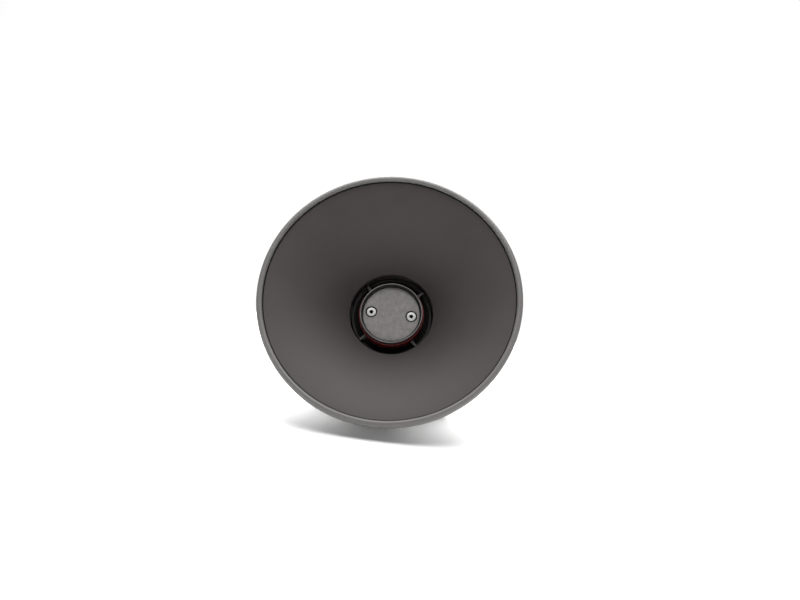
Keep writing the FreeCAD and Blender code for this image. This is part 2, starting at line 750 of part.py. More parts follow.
# ---------------------------------------------------------------- the power selector
def selector():
    """Rotary tap selector: switch inside the cover, shaft through it and a knob behind it."""
    shaft = dim("selector_radius")
    bore = shaft + dim("running_gap")
    turned("selector_switch", [
        (bore, cover_inside),
        (8.8, cover_inside),
        (8.8, cover_inside + 9),
        (0, cover_inside + 9),
        (0, cover_inside + 7),
        (bore, cover_inside + 7),
    ])
    turned("shaft_seal", [
        (bore + 0.1, cover_back),
        (4.9, cover_back),
        (4.9, cover_back + 1.6),
        (bore + 0.1, cover_back + 1.6),
    ])
    turned("selector_shaft", [
        (0, cover_back - 11),
        (shaft, cover_back - 11),
        (shaft, cover_inside + 6.5),
        (0, cover_inside + 6.5),
    ])
    knob_front = cover_back - 0.8
    body = turned("selector_knob", [
        (0, knob_front - 13),
        (dim("knob_radius") - 2, knob_front - 13),
        (dim("knob_radius") - 1, knob_front - 12, 1, 1),
        (dim("knob_radius") - 0.6, knob_front - 3),
        (dim("knob_radius"), knob_front - 2.4),
        (dim("knob_radius"), knob_front),
        (shaft + 0.05, knob_front),
        (shaft + 0.05, cover_back - 11),
        (0, cover_back - 11),
    ])
    flute = prism(body, "knob_flute", "XY_Plane", knob_front - 14, knob_front - 3.4,
                  circles=[(dim("knob_radius") + 0.3, 0, 1.6)], cut=True)
    polar(body, [flute], 12)
    prism(body, "pointer_slot", "XY_Plane", knob_front - 14, knob_front - 12.2,
          outline=rectangle(-0.7, 0.7, 1.5, 8.5), cut=True)


# ---------------------------------------------------------------- the cable gland and the blanking plug
def gland():
    seat = cover_back - 1.5
    thread = dim("entry_radius") - 0.1
    entry_end = cover_inside + 6
    body = turned("gland_body", [
        (6.5, entry_end),
        (thread, entry_end),
        (thread, seat),
        (12, seat),
        (12, seat - 6.5),
        (9, seat - 6.5),
        (9, seat - 15),
        (7.6, seat - 15),
        (7.6, seat - 8.5),
        (6.5, seat - 8.5),
    ])
    prism(body, "body_hexagon", "XY_Plane", seat - 6, seat - 0.5, outline=hexagon(dim("gland_flats")))
    turned("gland_seal", [
        (dim("cable_radius"), seat - 19),
        (6, seat - 19),
        (7.4, seat - 17),
        (7.4, seat - 8.6),
        (dim("cable_radius"), seat - 8.6),
    ])
    body = turned("gland_nut", [
        (6.1, seat - 23.5),
        (9.4, seat - 23.5),
        (12, seat - 18, 7, 1),
        (12, seat - 7.4),
        (9.1, seat - 7.4),
        (9.1, seat - 19.3),
        (6.1, seat - 19.3),
    ])
    prism(body, "nut_hexagon", "XY_Plane", seat - 16, seat - 8,
          outline=hexagon(dim("gland_flats")), circles=[(0, 0, 9.1)])
    turned("blanking_plug", [
        (0, entry_end),
        (thread, entry_end),
        (thread, seat),
        (12.6, seat),
        (13, seat - 0.4),
        (13, seat - 3.4),
        (12, seat - 4.4),
        (0, seat - 4.4),
    ])
    prism(parts["blanking_plug"], "plug_socket", "XY_Plane", seat - 5.4, seat - 1, outline=hexagon(10), cut=True)
    washers = doc.addObject("Part::Cut", "entry_washers")
    washers.Label = "entry_washers"
    rings = []
    for name, radius in (("outer", 13.3), ("inner", 10.1)):
        pair = doc.addObject("Part::MultiFuse", f"washer_{name}")
        margin = 0 if name == "outer" else 1
        pair.Shapes = [
            cylinder(f"washer_{name}_{side_name}", (dim("entry_offset_x") * side, -dim("entry_offset_y")),
                     radius, seat - margin, cover_back + margin)
            for side, side_name in ((-1, "left"), (1, "right"))]
        rings.append(pair)
    washers.Base, washers.Tool = rings
    parts["entry_washers"] = washers


def earth_point():
    seat = cover_back - 2
    turned("earth_washer", [
        (2.6, seat),
        (5.4, seat),
        (5.4, seat - 1.2),
        (2.6, seat - 1.2),
    ])
    body = turned("earth_screw", [
        (0, seat + 4),
        (2.5, seat + 4),
        (2.5, seat - 1.2),
        (4.4, seat - 1.2),
        (4.4, seat - 3.4),
        (3.6, seat - 4),
        (0, seat - 4),
    ])
    prism(body, "earth_slot", "XY_Plane", seat - 5, seat - 2.4, outline=rectangle(-5, 5, -0.6, 0.6), cut=True)


# ---------------------------------------------------------------- the bracket and the tilt pivot
def u_bracket():
    inner = dim("boss_face") + dim("arm_gap")
    outer = inner + dim("arm_wall")
    wall = dim("arm_wall")
    top = dim("pivot_height") + dim("arm_width") * 0.5
    bend = dim("arm_bend")
    body = new_body("u_bracket")
    prism(body, "strip", "XZ_Plane", -dim("arm_width") * 0.5, dim("arm_width") * 0.5, outline=[
        (-outer, top),
        (-outer, wall + bend),
        (-inner + bend, 0, wall + bend, 1),
        (inner - bend, 0),
        (outer, wall + bend, wall + bend, 1),
        (outer, top),
        (inner, top),
        (inner, wall + bend),
        (inner - bend, wall, bend, -1),
        (-inner + bend, wall),
        (-inner, wall + bend, bend, -1),
        (-inner, top),
    ])
    corners = [f"Edge{number}" for number, edge in enumerate(body.Shape.Edges, start=1)
               if all(abs(vertex.Z - top.value) < 1e-6 for vertex in edge.Vertexes)
               and abs(edge.Vertexes[0].Y - edge.Vertexes[-1].Y) < 1e-6]
    rounding = body.newObject("PartDesign::Fillet", "arm_ends")
    rounding.Base = (body.Tip if body.Tip != rounding else rounding.BaseFeature, corners)
    rounding.setExpression("Radius", "dims.arm_width * 0.499")
    prism(body, "pivot_holes", "YZ_Plane", -outer - 1, outer + 1,
          circles=[(0, dim("pivot_height"), dim("pivot_radius") + dim("running_gap"))], cut=True)
    prism(body, "foot_holes", "XY_Plane", -1, wall + 1, cut=True,
          circles=[(0, 0, dim("foot_centre_hole"))]
          + [(dim("foot_bolt_offset") * side, 0, dim("foot_bolt_hole")) for side in (-1, 1)])


def pivot_piece(label, profile, hexagon_band=None):
    """A pair of turned pieces on the tilt axis, drawn on the right and mirrored to the left."""
    body = new_body(label)
    sketch = new_sketch(body, label + "_section", "XZ_Plane")
    draw_outline(sketch, profile)
    solid = body.newObject("PartDesign::Revolution", label + "_turned")
    solid.Profile = sketch
    solid.ReferenceAxis = (sketch, ["H_Axis"])
    solid.Angle = 360
    features = [solid]
    if hexagon_band:
        features.append(prism(body, label + "_hexagon", "YZ_Plane", *hexagon_band, outline=hexagon(13)))
    mirror = body.newObject("PartDesign::Mirrored", label + "_pair")
    mirror.Originals = features
    mirror.MirrorPlane = (origin_feature(body, "YZ_Plane"), [""])
    body.Tip = mirror
    body.setExpression("Placement.Base.z", "dims.pivot_height")


def pivots():
    inner = dim("boss_face") + dim("arm_gap")
    outer = inner + dim("arm_wall")
    head = outer + 1.6
    shank = dim("pivot_radius")
    pivot_piece("serrated_discs", [
        (dim("boss_face"), shank + 0.15),
        (dim("boss_face"), 11.6),
        (inner - 0.4, 11.6),
        (inner, 11.2),
        (inner, shank + 0.15),
    ])
    pivot_piece("pivot_washers", [
        (outer, shank + 0.2),
        (outer, 9),
        (head, 9),
        (head, shank + 0.2),
    ])
    pivot_piece("pivot_bolts", [
        (dim("boss_face") - 7.5, 0),
        (dim("boss_face") - 7.5, shank),
        (head, shank),
        (head, 6.4),
        (head + 4.8, 6.4),
        (head + 5.3, 5.9),
        (head + 5.3, 0),
    ], hexagon_band=(head, head + 4.9))


# ---------------------------------------------------------------- making, checking and writing the pieces
horn_bell()
rim_trim()
throat_spider()
throat_tube()
centre_cup()
cup_sleeve()
face_cap()
socket_screws("face_screws", "face_screw_offset", cap_back - 0.1, dim("face_head_radius"), 2.4, 2, 10.4, 3, 2)
neck_gasket()
socket_screws("bell_screws", "bell_screw_circle", flange_front, 4.2, 4.8, 2.5, 10.8, 4, 4)
driver_housing()
rear_cover()
cover_seal()
socket_screws("cover_screws", "cover_screw_circle", cover_back + 7, 4.2, 4.8, 2.5, 15.4, 4, 6, forward=False)
line_transformer(driver_parts())
terminals()
selector()
gland()
earth_point()
head_parts = [label for label in parts]
u_bracket()
pivots()

places = {
    "selector_switch": (0, dim("selector_offset")),
    "shaft_seal": (0, dim("selector_offset")),
    "selector_shaft": (0, dim("selector_offset")),
    "selector_knob": (0, dim("selector_offset")),
    "gland_body": (dim("entry_offset_x"), -dim("entry_offset_y")),
    "gland_seal": (dim("entry_offset_x"), -dim("entry_offset_y")),
    "gland_nut": (dim("entry_offset_x"), -dim("entry_offset_y")),
    "blanking_plug": (-dim("entry_offset_x"), -dim("entry_offset_y")),
    "earth_washer": (0, -dim("earth_offset")),
    "earth_screw": (0, -dim("earth_offset")),
}
for label in head_parts:
    place_in_head(parts[label], *places.get(label, (0, 0)))

doc.recompute()
for item in doc.Objects:
    if "Invalid" in item.State or "Error" in item.State:
        raise RuntimeError(f"{item.Label} is {item.State}")
for label, piece in parts.items():
    if piece.Shape.isNull() or not piece.Shape.isValid() or not piece.Shape.Solids:
        raise RuntimeError(f"{label} has no valid solid")

os.makedirs("parts", exist_ok=True)
for label, piece in parts.items():
    piece.Shape.exportStep(f"parts/{label}.step")
    print(f"{label:22s} {len(piece.Shape.Solids)} solids {piece.Shape.Volume / 1000:9.2f} cm3")
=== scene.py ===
import collections
import json
import math

import bmesh
import bpy
from mathutils import Matrix, Quaternion, Vector, geometry, noise


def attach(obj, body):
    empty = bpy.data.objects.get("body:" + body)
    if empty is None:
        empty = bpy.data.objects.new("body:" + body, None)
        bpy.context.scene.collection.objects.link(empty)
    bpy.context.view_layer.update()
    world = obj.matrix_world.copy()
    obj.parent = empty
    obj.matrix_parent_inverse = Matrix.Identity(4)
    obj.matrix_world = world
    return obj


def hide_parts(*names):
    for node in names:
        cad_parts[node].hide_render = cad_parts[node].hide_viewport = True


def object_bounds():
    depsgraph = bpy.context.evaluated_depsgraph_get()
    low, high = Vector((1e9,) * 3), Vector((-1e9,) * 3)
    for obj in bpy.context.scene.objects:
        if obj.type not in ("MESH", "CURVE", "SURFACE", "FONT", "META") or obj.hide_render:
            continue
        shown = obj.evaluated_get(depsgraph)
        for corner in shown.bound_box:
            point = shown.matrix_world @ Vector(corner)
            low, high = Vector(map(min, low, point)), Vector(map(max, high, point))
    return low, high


# Looks for the flared horn loudspeaker. The head's pieces are drawn in millimetres in the head's own axes
# (Z out of the mouth, Y to the head's top, origin on the tilt axis) and then laid on the CAD frame.

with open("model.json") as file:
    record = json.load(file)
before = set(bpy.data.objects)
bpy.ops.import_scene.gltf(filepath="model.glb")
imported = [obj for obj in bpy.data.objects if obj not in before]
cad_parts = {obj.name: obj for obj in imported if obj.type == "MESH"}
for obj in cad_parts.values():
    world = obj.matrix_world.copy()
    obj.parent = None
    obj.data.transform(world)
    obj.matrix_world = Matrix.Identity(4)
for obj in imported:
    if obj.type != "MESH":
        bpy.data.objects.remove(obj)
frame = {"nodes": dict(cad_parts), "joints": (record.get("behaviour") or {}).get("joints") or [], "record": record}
cad_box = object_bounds()
nodes = frame["nodes"]
joints = {joint["name"]: joint for joint in frame["joints"]}
MM = 0.001
PIVOT = Vector(joints["tilt"]["pos_m"])
FORWARD = Vector(joints["coil_travel"]["axis"]).normalized()
SIDE = Vector((1, 0, 0))
HEAD = Matrix.Translation(PIVOT) @ Matrix((SIDE, FORWARD.cross(SIDE), FORWARD)).transposed().to_4x4()
HEAD = HEAD @ Matrix.Scale(MM, 4)

# Steps round a turned piece, from the bell down to a bolt hole
RIM_ROUND, ROUND, SCREW_ROUND, RECESS_ROUND, HOLE_ROUND = 240, 160, 144, 60, 24

# Camera fitted to the photo: metres from the middle of the mouth, millimetres of lens, and degrees
CAMERA_OFFSET = Vector((0.0340, -0.4288, -0.0027))
CAMERA_LENS, CAMERA_SENSOR, CAMERA_CLIP = 25.875, 36, 0.01
CAMERA_HEADING, CAMERA_PITCH, CAMERA_ROLL = 3.368, -0.328, 6.618

# Stage: the room's brightness in front and behind and where it fades, the floor in metres, and each light's
# place, size and power
ROOM_FRONT, ROOM_BACK, ROOM_FADE = 0.13, 1.05, (0.4, 0.75)
FLOOR, FLOOR_BACK, FLOOR_DROP = 8, 1.3, 0.0005
DOWN = Vector((0, 0, -1))
LIGHTS = {"overhead": ((0, -0.1, 1.3), 1.5, 38), "behind": ((0, 1.6, 1.2), 2.0, 60)}

# Materials: how far roughness strays, how deep grain is for its size, how dark a band's gap is, and the
# pointiness at which an edge starts to wear and is fully worn
ROUGH_SPREAD, GRAIN_DEPTH, BAND_SHADE, WORN_EDGES = 0.06, 0.25, 0.35, (0.53, 0.60)
MOTTLE_RANGE, BROAD_DETAIL, FINE_DETAIL = (0.3, 0.7), 6.0, 3.0
WAVE_PHASE, WAVE_DISTORTION, WAVE_DETAIL = 20, 0.6, 2.0

# Mesh helpers. WELD is in the unit that a piece is drawn in: a micrometre for those drawn in millimetres, and
# a millimetre for the softened copies of CAD nodes, which are in metres. There it is too coarse: it welds part
# of the rounding away and leaves gaps.
WELD = 0.001
CAD_WELD = 1e-6
ON_AXIS = 1e-6
FLAT_ANGLE, SHARP_ANGLE, BEVEL_STEPS = 1, 40, 2
FLARE_STEPS = 60
GRID_ROW, GRID_MARGIN = 0.866, 0.6
RELIEF_COARSE, RELIEF_FINE, RELIEF_FINE_SHARE = 0.75, 1.7, 0.6
DISC_CLEARANCE = 0.03


# ---------------------------------------------------------------- reading the frame
def head_points(node):
    """Corners of a CAD node in the head's axes, in millimetres."""
    inverse = HEAD.inverted()
    return [inverse @ vertex.co for vertex in nodes[node].data.vertices]


def radius_of(point):
    """Distance of a point from the horn's axis."""
    return math.hypot(point.x, point.y)


class Reach:
    """How far a CAD node reaches along and round the horn's axis, and the level of its inner edge, in
    millimetres."""

    def __init__(self, node):
        points = head_points(node)
        self.low = min(point.z for point in points)
        self.high = max(point.z for point in points)
        self.inner = min(radius_of(point) for point in points)
        self.outer = max(radius_of(point) for point in points)
        self.edge = min(points, key=radius_of).z


BELL = Reach("horn_bell")
TRIM = Reach("rim_trim")
CROWN_ABOVE_MOUTH = 1.1
MOUTH = HEAD @ Vector((0, 0, TRIM.high - CROWN_ABOVE_MOUTH))


# ---------------------------------------------------------------- camera, light and floor
def add_camera():
    """Nearly level camera in front of the mouth, a little to the right and rolled with the object."""
    camera = bpy.data.objects.new("camera", bpy.data.cameras.new("camera"))
    camera.data.sensor_width = CAMERA_SENSOR
    camera.data.lens = CAMERA_LENS
    camera.data.clip_start = CAMERA_CLIP
    camera.location = MOUTH + CAMERA_OFFSET
    heading, pitch, roll = [math.radians(angle) for angle in (CAMERA_HEADING, CAMERA_PITCH, CAMERA_ROLL)]
    level = math.cos(pitch)
    look = Vector((-math.sin(heading) * level, math.cos(heading) * level, math.sin(pitch)))
    camera.rotation_mode = "QUATERNION"
    camera.rotation_quaternion = look.to_track_quat("-Z", "Y") @ Quaternion((0, 0, 1), roll)
    bpy.context.scene.collection.objects.link(camera)
    bpy.context.scene.camera = camera


def add_light(name, place, size, power):
    """Square area light that faces straight down."""
    light = bpy.data.lights.new(name, "AREA")
    light.size = size
    light.energy = power
    lamp = bpy.data.objects.new(name, light)
    lamp.location = place
    lamp.rotation_mode = "QUATERNION"
    lamp.rotation_quaternion = DOWN.to_track_quat("-Z", "Y")
    bpy.context.scene.collection.objects.link(lamp)


def add_room():
    """White room behind the object and a dimmer one in front, so the horn's mouth looks into shade."""
    world = bpy.data.worlds.new("room")
    bpy.context.scene.world = world
    world.use_nodes = True
    tree = world.node_tree
    place = tree.nodes.new("ShaderNodeTexCoord")
    split = tree.nodes.new("ShaderNodeSeparateXYZ")
    ramp = tree.nodes.new("ShaderNodeValToRGB")
    for element, position, level in zip(ramp.color_ramp.elements, ROOM_FADE, (ROOM_FRONT, ROOM_BACK)):
        element.position = position
        element.color = (level, level, level, 1)
    tree.links.new(place.outputs["Generated"], split.inputs["Vector"])
    tree.links.new(split.outputs["Y"], ramp.inputs["Fac"])
    tree.links.new(ramp.outputs["Color"], tree.nodes["Background"].inputs["Color"])
    tree.nodes["Background"].inputs["Strength"].default_value = 1.0


def add_stage():
    """Plain pale floor in the room, with soft light from overhead and from behind the object."""
    add_room()
    mesh = bpy.data.meshes.new("floor")
    corners = [(-FLOOR, -FLOOR, 0), (FLOOR, -FLOOR, 0), (FLOOR, FLOOR_BACK, 0), (-FLOOR, FLOOR_BACK, 0)]
    mesh.from_pydata([Vector(corner) for corner in corners], [], [(0, 1, 2, 3)])
    floor = bpy.data.objects.new("floor", mesh)
    floor.location.z = cad_box[0][2] - FLOOR_DROP
    bpy.context.scene.collection.objects.link(floor)
    mesh.materials.append(surface("floor_paint", (0.9, 0.9, 0.9), roughness=0.9, mottle=0.01))
    for name, (place, size, power) in LIGHTS.items():
        add_light(name, place, size, power)
    bpy.context.scene.view_settings.view_transform = "Standard"


# ---------------------------------------------------------------- materials
def surface(name, colour, roughness=0.5, metallic=0.0, grain=0.0, grain_size=0.6, mottle=0.12,
            broad_size=28, stretch=(1, 1, 1), bands=0.0, band_size=1.0, wear=0.0,
            wear_colour=(0.5, 0.5, 0.5), coat=0.0, gloss=0.5):
    """Procedural finish. Sizes are in millimetres, a band repeats every 2 pi band sizes, and stretch draws
    the pattern out, as brushing does."""
    material = bpy.data.materials.new(name)
    material.use_nodes = True
    tree = material.node_tree
    shader = tree.nodes["Principled BSDF"]
    shader.inputs["Metallic"].default_value = metallic
    shader.inputs["Coat Weight"].default_value = coat
    shader.inputs["Specular IOR Level"].default_value = gloss

    def add(kind, vector=None, **sockets):
        """Add a shader node with its input values, named with _ for a space."""
        node = tree.nodes.new("ShaderNode" + kind)
        for socket, value in sockets.items():
            node.inputs[socket.replace("_", " ")].default_value = value
        if vector:
            tree.links.new(vector, node.inputs["Vector"])
        return node

    place = add("TexCoord")
    lie = add("Mapping", place.outputs["Object"], Rotation=HEAD.to_euler(), Scale=stretch)
    lie.vector_type = "TEXTURE"
    broad = add("TexNoise", lie.outputs["Vector"], Scale=1 / (broad_size * MM), Detail=BROAD_DETAIL)
    fine = add("TexNoise", lie.outputs["Vector"], Scale=1 / (grain_size * MM), Detail=FINE_DETAIL)
    ramp = add("ValToRGB")
    for element, position, gain in zip(ramp.color_ramp.elements, MOTTLE_RANGE, (1 - mottle, 1 + mottle)):
        element.position = position
        element.color = (*[min(channel * gain, 1) for channel in colour], 1)
    tree.links.new(broad.outputs["Fac"], ramp.inputs["Fac"])
    base = ramp.outputs["Color"]

    def blend_in(factor, second):
        """Mix a second colour into the base by a factor from another node."""
        mix = add("Mix")
        mix.data_type = "RGBA"
        tree.links.new(factor, mix.inputs["Factor"])
        tree.links.new(base, mix.inputs["A"])
        mix.inputs["B"].default_value = (*second, 1)
        return mix.outputs["Result"]

    height = fine.outputs["Fac"]
    if bands:
        wave = add("TexWave", lie.outputs["Vector"], Scale=1 / (band_size * MM * WAVE_PHASE),
                   Distortion=WAVE_DISTORTION, Detail=WAVE_DETAIL)
        wave.bands_direction = "Z"
        strength = add("MapRange", To_Max=bands)
        tree.links.new(wave.outputs["Fac"], strength.inputs["Value"])
        base = blend_in(strength.outputs["Result"], [channel * BAND_SHADE for channel in colour])
        height = wave.outputs["Fac"]
    if wear:
        shape = add("NewGeometry")
        edges = add("MapRange", From_Min=WORN_EDGES[0], From_Max=WORN_EDGES[1], To_Max=wear)
        tree.links.new(shape.outputs["Pointiness"], edges.inputs["Value"])
        base = blend_in(edges.outputs["Result"], wear_colour)
    tree.links.new(base, shader.inputs["Base Color"])
    rough = add("MapRange", To_Min=roughness - ROUGH_SPREAD, To_Max=roughness + ROUGH_SPREAD)
    tree.links.new(broad.outputs["Fac"], rough.inputs["Value"])
    tree.links.new(rough.outputs["Result"], shader.inputs["Roughness"])
    if grain:
        bump = add("Bump", Strength=grain, Distance=grain_size * MM * GRAIN_DEPTH)
        tree.links.new(height, bump.inputs["Height"])
        tree.links.new(bump.outputs["Normal"], shader.inputs["Normal"])
    return material


add_camera()
FINISH = {
    "bell_paint": surface("bell_paint", (0.0520, 0.0455, 0.0435), roughness=0.58, grain=0.25,
                          grain_size=0.5, mottle=0.05, gloss=0.3),
    "trim_rubber": surface("trim_rubber", (0.135, 0.130, 0.126), roughness=0.5, grain=0.2, grain_size=0.4,
                           mottle=0.06),
    "housing_paint": surface("housing_paint", (0.058, 0.053, 0.051), roughness=0.55, grain=0.7,
                             grain_size=0.9, wear=0.4, wear_colour=(0.13, 0.12, 0.115)),
    # Its light worn edges are partly wear and partly a painted highlight along thin edges such as the cup's rim.
    "spider_plastic": surface("spider_plastic", (0.014, 0.013, 0.0125), roughness=0.55, grain=0.3,
                              grain_size=0.5, mottle=0.08, wear=0.6, wear_colour=(0.16, 0.152, 0.148),
                              gloss=0.25),
    "sleeve_rubber": surface("sleeve_rubber", (0.10, 0.004, 0.004), roughness=0.45, grain=0.2,
                             grain_size=0.4),
    "cap_cast": surface("cap_cast", (0.205, 0.196, 0.190), roughness=0.5, grain=0.5, grain_size=0.5,
                        mottle=0.16, broad_size=3.5),
    "tube_aluminium": surface("tube_aluminium", (0.55, 0.54, 0.53), roughness=0.3, metallic=1.0, grain=0.3,
                              grain_size=0.4, stretch=(8, 8, 0.3), broad_size=6),
    "steel": surface("steel", (0.40, 0.40, 0.395), roughness=0.42, metallic=0.8, grain=0.12,
                     grain_size=0.35, stretch=(1, 6, 1), broad_size=8, mottle=0.08),
    "magnet_steel": surface("magnet_steel", (0.50, 0.49, 0.45), roughness=0.28, metallic=0.9, grain=0.1,
                            broad_size=10, mottle=0.15, coat=0.2),
    "ferrite": surface("ferrite", (0.035, 0.035, 0.037), roughness=0.4, metallic=0.2, grain=0.4,
                       grain_size=0.3, mottle=0.2, broad_size=3),
    "laminations": surface("laminations", (0.13, 0.115, 0.10), roughness=0.4, metallic=0.5, grain=0.4,
                           bands=0.7, band_size=0.5, coat=0.3),
    "winding": surface("winding", (0.50, 0.36, 0.09), roughness=0.25, grain=0.3, bands=0.25, band_size=2.5,
                       coat=0.6),
    "diaphragm_film": surface("diaphragm_film", (0.42, 0.20, 0.06), roughness=0.3, grain=0.25,
                              grain_size=0.5, mottle=0.18, broad_size=5, coat=0.4),
    "coil_copper": surface("coil_copper", (0.75, 0.32, 0.15), roughness=0.25, metallic=1.0, grain=0.6,
                           bands=0.5, band_size=0.25),
    "gasket_rubber": surface("gasket_rubber", (0.018, 0.018, 0.018), roughness=0.75, grain=0.3,
                             grain_size=0.5, broad_size=6, mottle=0.2),
    "moulding": surface("moulding", (0.028, 0.028, 0.030), roughness=0.42, grain=0.5, grain_size=0.5,
                        mottle=0.15, wear=0.25, wear_colour=(0.09, 0.09, 0.09)),
    "brass": surface("brass", (0.66, 0.47, 0.17), roughness=0.28, metallic=1.0, grain=0.15, grain_size=0.3,
                     broad_size=4, mottle=0.15),
}
SCREW_ZINC = surface("screw_zinc", (0.62, 0.62, 0.61), roughness=0.5, metallic=0.3, grain=0.1,
                     grain_size=0.3, broad_size=3, mottle=0.08)
# Near black for painted shade: in the face screws' sockets and the recesses round their heads, and in the step
# inside the lip.
PAINTED_SHADE = surface("painted_shade_black", (0.008, 0.008, 0.008), roughness=0.8, grain=0.2, broad_size=2,
                      gloss=0.1)
# Light grey for the cup's thin front rim: partly a worn edge and partly a painted highlight along it.
RIM_WEAR_AND_HIGHLIGHT = surface("rim_wear_and_highlight", (0.20, 0.195, 0.19), roughness=0.5, grain=0.2, grain_size=0.4,
                    broad_size=8)
SLOTS = {part["node"]: part["material_slot"] for part in frame["record"]["subparts"]}
add_stage()


# ---------------------------------------------------------------- mesh helpers
def finish_piece(name, work, node, body="head", sharp=35, matrix=HEAD, finish=None):
    """Turn a surface, drawn in head axes unless a matrix is given, into a piece that replaces a CAD node."""
    bmesh.ops.remove_doubles(work, verts=work.verts, dist=WELD)
    bmesh.ops.recalc_face_normals(work, faces=work.faces)
    mesh = bpy.data.meshes.new(name)
    work.to_mesh(mesh)
    work.free()
    mesh.transform(matrix)
    mesh.shade_smooth()
    mesh.set_sharp_from_angle(angle=math.radians(sharp))
    mesh.materials.append(finish or FINISH[SLOTS[node]])
    piece = bpy.data.objects.new(name, mesh)
    bpy.context.scene.collection.objects.link(piece)
    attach(piece, body)
    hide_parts(node)


def arc(start, end, radius, side, steps=24):
    """Points after start up to end on an arc whose centre is left (1) or right (-1) of the way."""
    start, end = Vector(start), Vector(end)
    chord = end - start
    rise = math.sqrt(max(radius ** 2 - (chord.length / 2) ** 2, 0))
    left = Vector((-chord.y, chord.x)).normalized()
    centre = start + chord / 2 + left * rise * side
    first = start - centre
    sweep = -first.angle_signed(end - centre)
    points = []
    for step in range(1, steps + 1):
        cos, sin = math.cos(sweep * step / steps), math.sin(sweep * step / steps)
        points.append((centre.x + first.x * cos - first.y * sin, centre.y + first.x * sin + first.y * cos))
    return points


def hexagonal(across_flats):
    """Radius of a hexagon by angle, for a turned ring that becomes six-sided."""
    sixth = math.pi / 3
    return lambda angle: across_flats / 2 / math.cos(angle % sixth - sixth / 2)


def turn(work, profile, segments=ROUND, closed=False, centre=(0, 0)):
    """Add a surface turned about a line along Z from (radius, level) points; a radius may vary by angle."""
    rings = []
    for radius, level in profile:
        if not callable(radius) and radius < ON_AXIS:
            rings.append([work.verts.new((*centre, level))] * segments)
            continue
        ring = []
        for step in range(segments):
            angle = 2 * math.pi * step / segments
            reach = radius(angle) if callable(radius) else radius
            across, up = centre[0] + reach * math.cos(angle), centre[1] + reach * math.sin(angle)
            ring.append(work.verts.new((across, up, level)))
        rings.append(ring)
    for lower, upper in zip(rings, rings[1:] + rings[:1] if closed else rings[1:]):
        for step in range(segments):
            following = (step + 1) % segments
            corners = [lower[step], lower[following], upper[following], upper[step]]
            work.faces.new(list(dict.fromkeys(corners)))


def plate(work, level, outer, holes, spacing, relief=0.0):
    """Add a flat face inside a circle and outside holes (x, y, radius, steps), cast rough by the relief."""
    outlines = [(0, 0, outer, ROUND)] + holes
    points, edges = [], []
    for x, y, radius, count in outlines:
        first = len(points)
        turns = [2 * math.pi * step / count for step in range(count)]
        points += [Vector((x + radius * math.cos(t), y + radius * math.sin(t))) for t in turns]
        edges += [(first + step, first + (step + 1) % count) for step in range(count)]
    border = len(points)

    def clear(point, margin):
        """Whether a point lies on the face, at least a margin from its outlines."""
        outside_holes = all((point - Vector((x, y))).length > radius + margin for x, y, radius, _ in holes)
        return point.length < outer - margin and outside_holes

    across = int(outer / spacing) + 1
    for row in range(-across, across + 1):
        for column in range(-across, across + 1):
            point = Vector(((column + row % 2 / 2) * spacing, row * spacing * GRID_ROW))
            if clear(point, spacing * GRID_MARGIN):
                points.append(point)
    flat, _, triangles, origins, _, _ = geometry.delaunay_2d_cdt(points, edges, [], 0, 1e-6)
    corners = []
    for point, origin in zip(flat, origins):
        lift = 0.0
        if relief and min(origin) >= border:
            where = Vector((point.x, point.y, 0))
            coarse, fine = noise.noise(where * RELIEF_COARSE), noise.noise(where * RELIEF_FINE)
            lift = relief * (coarse + RELIEF_FINE_SHARE * fine)
        corners.append(work.verts.new((point.x, point.y, level + lift)))
    for triangle in triangles:
        middle = sum((flat[corner] for corner in triangle), Vector((0, 0))) / 3
        if clear(middle, -0.001):
            work.faces.new([corners[corner] for corner in triangle])


def circle_of(count, offset):
    """Places evenly round the horn's axis, the first on its right."""
    turns = [2 * math.pi * step / count for step in range(count)]
    return [(offset * math.cos(t), offset * math.sin(t)) for t in turns]


def soften(node, width):
    """Copy a CAD node, in metres, with its sharp edges rounded off, as castings and mouldings are."""
    work = bmesh.new()
    work.from_mesh(nodes[node].data)
    bmesh.ops.remove_doubles(work, verts=work.verts, dist=CAD_WELD)
    bmesh.ops.dissolve_limit(work, angle_limit=math.radians(FLAT_ANGLE), verts=work.verts, edges=work.edges)
    limit = math.radians(SHARP_ANGLE)
    sharp = [edge for edge in work.edges if len(edge.link_faces) == 2 and edge.calc_face_angle() > limit]
    bmesh.ops.bevel(work, geom=sharp, offset=width * MM, offset_type="OFFSET", segments=BEVEL_STEPS,
                    profile=0.5, affect="EDGES", clamp_overlap=True)
    return work


def keep_off_the_arms(work):
    """Draw the serrated discs back from the bracket's arms by a hair, so that they turn freely."""
    reach = max(vertex.co.x for vertex in work.verts) - DISC_CLEARANCE * MM
    for vertex in work.verts:
        vertex.co.x = max(-reach, min(vertex.co.x, reach))


# ---------------------------------------------------------------- sizes in millimetres
Screw = collections.namedtuple("Screw", "radius height shank length socket")
FACE_SCREW = Screw(radius=3.8, height=2.4, shank=2, length=10.4, socket=3)
BELL_SCREW = Screw(radius=4.2, height=4.8, shank=2.5, length=10.8, socket=4)
COVER_SCREW = BELL_SCREW._replace(length=15.4)
BELL_SCREWS, FACE_SCREWS, COVER_SCREWS = 44.5, 16.8, 47.6
FLANGE, FLANGE_BEYOND_GASKET, FLANGE_CHAMFER = 4, 0.4, 0.4
BELL_FLANGE = Reach("neck_gasket").outer + FLANGE_BEYOND_GASKET
COVER_SEAT_DEPTH = 9
WALL, FLARE = 2.5, 130
CROWN_ABOVE_LIP, LIP_INSET = 3.1, 0.5
LIP = TRIM.high - CROWN_ABOVE_LIP
CAP = Reach("face_cap")
CAP_BACK = CAP.high - 2.5
CAP_GAP = 0.05


